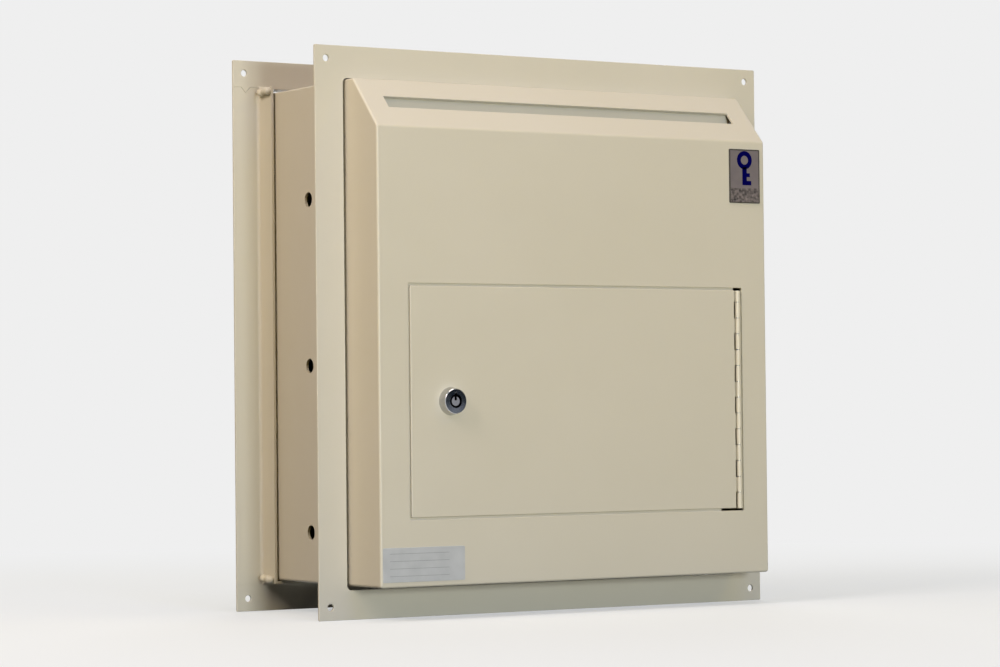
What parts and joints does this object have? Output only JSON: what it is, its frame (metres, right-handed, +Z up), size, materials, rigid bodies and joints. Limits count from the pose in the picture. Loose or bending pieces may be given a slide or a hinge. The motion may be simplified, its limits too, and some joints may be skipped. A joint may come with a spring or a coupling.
{
  "type": "through-wall key drop box",
  "caption": "Through-the-wall key drop box: flanged body with a sloped, slotted hood, a keyed door front and rear, and a sliding rear trim ring.",
  "frame": {"origin": "centre of the front flange's four-screw pattern, on the flange's wall side", "axes": "+X right as seen from the street, +Y into the wall towards the room, +Z up"},
  "size_m": [0.414, 0.243, 0.437],
  "materials": {
    "powder_coat": "fine powder coat, cream",
    "hinge_coat": "powder coat over steel hinge, cream",
    "hinge_pin_steel": "plain steel wire",
    "lock_chrome": "bright nickel plate",
    "plug_steel": "machined",
    "zinc_steel": "zinc plated",
    "badge_metal": "printed aluminium, no lettering",
    "label_foil": "silver polyester film, blank"
  },
  "bodies": {
    "box": {"front_cover": "powder_coat", "body_wrap": "powder_coat", "rear_panel": "powder_coat", "chute_back_plate": "powder_coat", "chute_front_plate": "powder_coat", "front_flange": "powder_coat", "flange_welds": "powder_coat", "badge_plate": "badge_metal", "data_label": "label_foil", "front_door_stop": "powder_coat", "front_lock_strike": "powder_coat", "front_hinge_frame_leaf": "hinge_coat", "front_hinge_pin": "hinge_pin_steel", "rear_door_stop": "powder_coat", "rear_lock_strike": "powder_coat", "rear_hinge_frame_leaf": "hinge_coat", "rear_hinge_pin": "hinge_pin_steel"},
    "wall_ring": {"ring_top_rail": "powder_coat", "ring_bottom_rail": "powder_coat", "ring_left_upright": "powder_coat", "ring_right_upright": "powder_coat", "ring_welds": "powder_coat"},
    "front_door": {"front_door_panel": "powder_coat", "front_door_pan": "powder_coat", "front_hinge_door_leaf": "hinge_coat", "front_lock_housing": "lock_chrome", "front_lock_nut": "zinc_steel"},
    "front_lock": {"front_lock_plug": "plug_steel", "front_lock_cam": "zinc_steel", "front_cam_screw": "zinc_steel"},
    "rear_door": {"rear_door_panel": "powder_coat", "rear_door_pan": "powder_coat", "rear_hinge_door_leaf": "hinge_coat", "rear_lock_housing": "lock_chrome", "rear_lock_nut": "zinc_steel"},
    "rear_lock": {"rear_lock_plug": "plug_steel", "rear_lock_cam": "zinc_steel", "rear_cam_screw": "zinc_steel"}
  },
  "joints": [
    {"name": "ring_slide", "type": "slide", "parent": "box", "child": "wall_ring", "axis": [0, 1, 0], "range_m": [-0.0385, 0.047]},
    {"name": "front_door_hinge", "type": "hinge", "parent": "box", "child": "front_door", "pos_m": [0.1529, -0.04815, -0.0532], "axis": [0, 0, 1], "range_deg": [0, 150]},
    {"name": "rear_door_hinge", "type": "hinge", "parent": "box", "child": "rear_door", "pos_m": [-0.1529, 0.17915, -0.0532], "axis": [0, 0, 1], "range_deg": [0, 150]},
    {"name": "front_lock_turn", "type": "hinge", "parent": "front_door", "child": "front_lock", "pos_m": [-0.1175, -0.049, -0.0532], "axis": [0, 1, 0], "range_deg": [0, 90]},
    {"name": "rear_lock_turn", "type": "hinge", "parent": "rear_door", "child": "rear_lock", "pos_m": [0.1175, 0.18, -0.0532], "axis": [0, -1, 0], "range_deg": [0, 90]}
  ]
}
